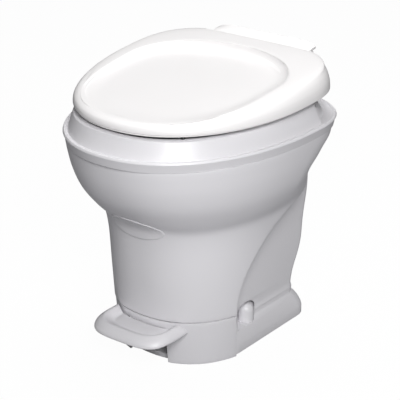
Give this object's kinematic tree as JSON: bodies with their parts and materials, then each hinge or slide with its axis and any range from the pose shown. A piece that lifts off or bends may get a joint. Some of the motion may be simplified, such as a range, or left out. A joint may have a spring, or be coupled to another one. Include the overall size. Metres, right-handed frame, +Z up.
{
  "type": "toilet",
  "caption": "Gravity-flush toilet for a caravan or small cabin: foot pedal, rack-driven ball valve, deep bowl, hinged seat and lid, floor-bolted moulded pedestal",
  "frame": {"origin": "on the floor, under the middle of the overall box", "axes": "+Z up, -Y is the front of the bowl, +X is the side of the drive and the water inlet"},
  "size_m": [0.387, 0.433, 0.47],
  "materials": {
    "white_plastic": "gloss white moulded plastic",
    "lid_plastic": "gloss white moulded plastic",
    "bowl_plastic": "gloss white bowl",
    "black_plastic": "black moulded plastic",
    "grey_plastic": "grey moulded plastic",
    "nylon": "natural nylon",
    "rubber": "black rubber",
    "steel": "plain steel",
    "brass": "plain brass",
    "clear_hose": "translucent hose"
  },
  "bodies": {
    "pedestal": {"rim_collar": "white_plastic", "pedestal_shell": "white_plastic", "badge_pad": "white_plastic", "base_front": "white_plastic", "base_foot": "white_plastic", "rear_body": "white_plastic", "bolt_cap_left": "white_plastic", "bolt_cap_right": "white_plastic", "flush_nozzle": "white_plastic", "hinge_post_left": "lid_plastic", "hinge_post_right": "lid_plastic", "inner_bowl": "bowl_plastic", "spring_cartridge": "black_plastic", "rack_guide_front": "black_plastic", "rack_guide_rear": "black_plastic", "vacuum_breaker": "black_plastic", "valve_housing": "grey_plastic", "outlet_spigot": "grey_plastic", "mechanism_plate": "grey_plastic", "pedal_bracket": "grey_plastic", "water_valve_body": "grey_plastic", "hinge_nut_left": "nylon", "hinge_nut_right": "nylon", "bowl_seal": "rubber", "floor_seal": "rubber", "pedal_pin": "steel", "hinge_pin_left": "steel", "hinge_pin_right": "steel", "bolt_washer_left": "steel", "bolt_washer_right": "steel", "inlet_fitting": "brass", "closet_bolt_left": "brass", "closet_bolt_right": "brass", "bolt_nut_left": "brass", "bolt_nut_right": "brass", "supply_hose": "clear_hose"},
    "pedal": {"pedal": "white_plastic", "pedal_sector_gear": "nylon", "pedal_stop": "rubber"},
    "rack": {"drive_rack": "nylon"},
    "ball": {"valve_ball": "nylon", "ball_drive_shaft": "steel", "ball_pivot_shaft": "steel", "ball_pinion": "nylon"},
    "plunger": {"water_valve_plunger": "brass"},
    "seat": {"seat": "lid_plastic", "seat_bumper_front_left": "rubber", "seat_bumper_front_right": "rubber", "seat_bumper_rear_left": "rubber", "seat_bumper_rear_right": "rubber"},
    "lid": {"lid": "lid_plastic"}
  },
  "joints": [
    {"name": "pedal_press", "type": "hinge", "parent": "pedestal", "child": "pedal", "pos_m": [0, -0.055, 0.062], "axis": [1, 0, 0], "range_deg": [0, 15], "stiffness_Nm_per_rad": 8, "springref_deg": -20.05},
    {"name": "rack_slide", "type": "slide", "parent": "pedestal", "child": "rack", "axis": [0, -1, 0], "range_m": [0, 0.0284]},
    {"name": "ball_turn", "type": "hinge", "parent": "pedestal", "child": "ball", "pos_m": [0, 0.055, 0.152], "axis": [1, 0, 0], "range_deg": [0, 90.3]},
    {"name": "plunger_lift", "type": "slide", "parent": "pedestal", "child": "plunger", "axis": [0, 0, 1], "range_m": [0, 0.0071]},
    {"name": "seat_hinge", "type": "hinge", "parent": "pedestal", "child": "seat", "pos_m": [0, 0.1945, 0.448], "axis": [-1, 0, 0], "range_deg": [0, 95]},
    {"name": "lid_hinge", "type": "hinge", "parent": "seat", "child": "lid", "pos_m": [0, 0.1945, 0.448], "axis": [-1, 0, 0], "range_deg": [0, 100]}
  ],
  "couplings": [
    {"joint": "rack_slide", "follows": "pedal_press", "m_per_rad": 0.108},
    {"joint": "ball_turn", "follows": "pedal_press", "ratio": 6},
    {"joint": "plunger_lift", "follows": "pedal_press", "m_per_rad": 0.027}
  ]
}
